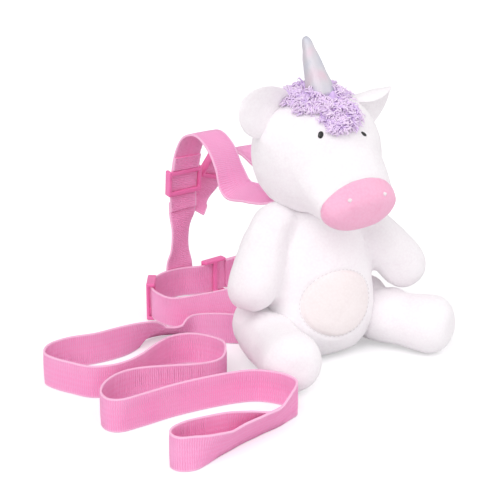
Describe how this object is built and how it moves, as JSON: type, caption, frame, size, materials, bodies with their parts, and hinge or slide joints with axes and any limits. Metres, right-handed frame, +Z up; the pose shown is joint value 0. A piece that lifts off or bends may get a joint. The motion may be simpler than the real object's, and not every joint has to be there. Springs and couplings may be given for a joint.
{
  "type": "plush animal child backpack",
  "caption": "Plush unicorn backpack for a small child, with a zipped back pocket, a webbing harness and a folded hand lead.",
  "frame": {"origin": "middle of the flat seat under the body, on the table", "axes": "+Z up; the body faces -Y, so the animal's right side is towards -X; the face is turned 9 degrees to its left"},
  "size_m": [0.3094, 0.3075, 0.2448],
  "materials": {
    "white_plush": "short white plush pile",
    "snout_plush": "short pink plush pile",
    "mane_plush": "long lilac plush pile",
    "horn_cloth": "silvery iridescent cloth",
    "eye": "glossy black",
    "nostril": "pale pink stitching",
    "zip": "woven zip tape and coil",
    "webbing": "pink polypropylene webbing with cross ribs",
    "fittings": "pink moulded plastic"
  },
  "bodies": {
    "root": {"torso": "white_plush", "back_panel": "white_plush", "zip": "zip", "belly_patch": "white_plush", "head": "white_plush", "snout": "snout_plush", "eye_right": "eye", "eye_left": "eye", "nostril_right": "nostril", "nostril_left": "nostril", "ear_right": "white_plush", "ear_left": "white_plush", "horn": "horn_cloth", "mane": "mane_plush", "arm_right": "white_plush", "arm_left": "white_plush", "leg_right": "white_plush", "leg_left": "white_plush", "shoulder_strap_right": "webbing", "shoulder_strap_left": "webbing", "chest_strap": "webbing", "belt_right": "webbing", "belt_left": "webbing", "buckle": "fittings", "strap_adjuster_right": "fittings", "strap_adjuster_left": "fittings", "belt_adjuster_right": "fittings", "belt_adjuster_left": "fittings", "lead": "webbing", "hand_loop": "webbing"}
  },
  "joints": []
}
